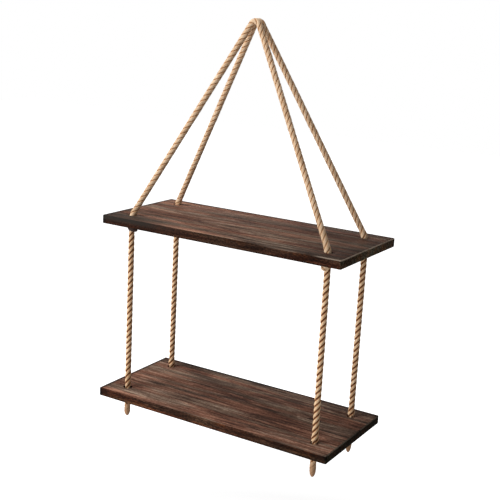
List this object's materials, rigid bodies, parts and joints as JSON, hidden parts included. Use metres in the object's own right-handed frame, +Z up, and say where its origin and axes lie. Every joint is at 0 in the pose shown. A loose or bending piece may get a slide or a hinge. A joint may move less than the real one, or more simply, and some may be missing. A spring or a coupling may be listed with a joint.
{
  "type": "hanging rope shelf",
  "caption": "Hanging wooden shelf with an upper and a lower board carried at their corners by twisted ropes, knotted under each board, that meet over one hook.",
  "frame": {"origin": "where the top of the hook bears on the undersides of the rope folds, midway between the front and back ropes", "axes": "+Z up, +X along the boards to the viewer's right, +Y to the back"},
  "size_m": [0.43, 0.19, 0.6833],
  "materials": {
    "board": "dark walnut stain, satin",
    "rope": "twisted natural fibre, matt"
  },
  "bodies": {
    "bights": {"bight_front": "rope", "bight_back": "rope"},
    "leg_tops": {"leg_top_front_left": "rope", "leg_top_front_right": "rope", "leg_top_back_left": "rope", "leg_top_back_right": "rope"},
    "upper_shelf": {"upper_board": "board", "leg_front_left": "rope", "leg_front_right": "rope", "leg_back_left": "rope", "leg_back_right": "rope", "upper_knot_front_left": "rope", "upper_knot_front_right": "rope", "upper_knot_back_left": "rope", "upper_knot_back_right": "rope"},
    "neck_front_left": {"neck_front_left": "rope"},
    "neck_front_right": {"neck_front_right": "rope"},
    "neck_back_left": {"neck_back_left": "rope"},
    "neck_back_right": {"neck_back_right": "rope"},
    "stretch_front_left": {"stretch_front_left": "rope"},
    "stretch_front_right": {"stretch_front_right": "rope"},
    "stretch_back_left": {"stretch_back_left": "rope"},
    "stretch_back_right": {"stretch_back_right": "rope"},
    "hole_neck": {"hole_neck_front_left": "rope"},
    "lower_shelf": {"lower_board": "board", "lower_knot_front_left": "rope", "lower_knot_front_right": "rope", "lower_knot_back_left": "rope", "lower_knot_back_right": "rope", "tail_front_left": "rope", "tail_front_right": "rope", "tail_back_left": "rope", "tail_back_right": "rope"}
  },
  "joints": [
    {"name": "sway_sideways", "type": "hinge", "parent": "bights", "child": "leg_tops", "pos_m": [0, 0, -0.003], "axis": [0, 1, 0], "range_deg": [-8, 8]},
    {"name": "sway_front_back", "type": "hinge", "parent": "leg_tops", "child": "upper_shelf", "pos_m": [0, 0, -0.003], "axis": [1, 0, 0], "range_deg": [-8, 8]},
    {"name": "neck_front_left_bend", "type": "hinge", "parent": "upper_shelf", "child": "neck_front_left", "pos_m": [-0.179, -0.0635, -0.3495], "axis": [0, 1, 0], "range_deg": [-12, 12]},
    {"name": "neck_front_right_bend", "type": "hinge", "parent": "upper_shelf", "child": "neck_front_right", "pos_m": [0.179, -0.0635, -0.3495], "axis": [0, 1, 0], "range_deg": [-12, 12]},
    {"name": "neck_back_left_bend", "type": "hinge", "parent": "upper_shelf", "child": "neck_back_left", "pos_m": [-0.179, 0.0635, -0.3495], "axis": [0, 1, 0], "range_deg": [-12, 12]},
    {"name": "neck_back_right_bend", "type": "hinge", "parent": "upper_shelf", "child": "neck_back_right", "pos_m": [0.179, 0.0635, -0.3495], "axis": [0, 1, 0], "range_deg": [-12, 12]},
    {"name": "stretch_front_left_bend", "type": "hinge", "parent": "neck_front_left", "child": "stretch_front_left", "pos_m": [-0.179, -0.0635, -0.3495], "axis": [1, 0, 0], "range_deg": [-12, 12]},
    {"name": "stretch_front_right_bend", "type": "hinge", "parent": "neck_front_right", "child": "stretch_front_right", "pos_m": [0.179, -0.0635, -0.3495], "axis": [1, 0, 0], "range_deg": [-12, 12]},
    {"name": "stretch_back_left_bend", "type": "hinge", "parent": "neck_back_left", "child": "stretch_back_left", "pos_m": [-0.179, 0.0635, -0.3495], "axis": [1, 0, 0], "range_deg": [-12, 12]},
    {"name": "stretch_back_right_bend", "type": "hinge", "parent": "neck_back_right", "child": "stretch_back_right", "pos_m": [0.179, 0.0635, -0.3495], "axis": [1, 0, 0], "range_deg": [-12, 12]},
    {"name": "lower_swing_front_back", "type": "hinge", "parent": "stretch_front_left", "child": "hole_neck", "pos_m": [-0.179, -0.0635, -0.618], "axis": [1, 0, 0], "range_deg": [-12, 12]},
    {"name": "lower_swing_sideways", "type": "hinge", "parent": "hole_neck", "child": "lower_shelf", "pos_m": [-0.179, -0.0635, -0.618], "axis": [0, 1, 0], "range_deg": [-12, 12]}
  ],
  "couplings": [
    {"joint": "neck_front_left_bend", "follows": "lower_swing_sideways", "ratio": -1},
    {"joint": "neck_front_right_bend", "follows": "lower_swing_sideways", "ratio": -1},
    {"joint": "neck_back_left_bend", "follows": "lower_swing_sideways", "ratio": -1},
    {"joint": "neck_back_right_bend", "follows": "lower_swing_sideways", "ratio": -1},
    {"joint": "stretch_front_left_bend", "follows": "lower_swing_front_back", "ratio": -1},
    {"joint": "stretch_front_right_bend", "follows": "lower_swing_front_back", "ratio": -1},
    {"joint": "stretch_back_left_bend", "follows": "lower_swing_front_back", "ratio": -1},
    {"joint": "stretch_back_right_bend", "follows": "lower_swing_front_back", "ratio": -1}
  ]
}
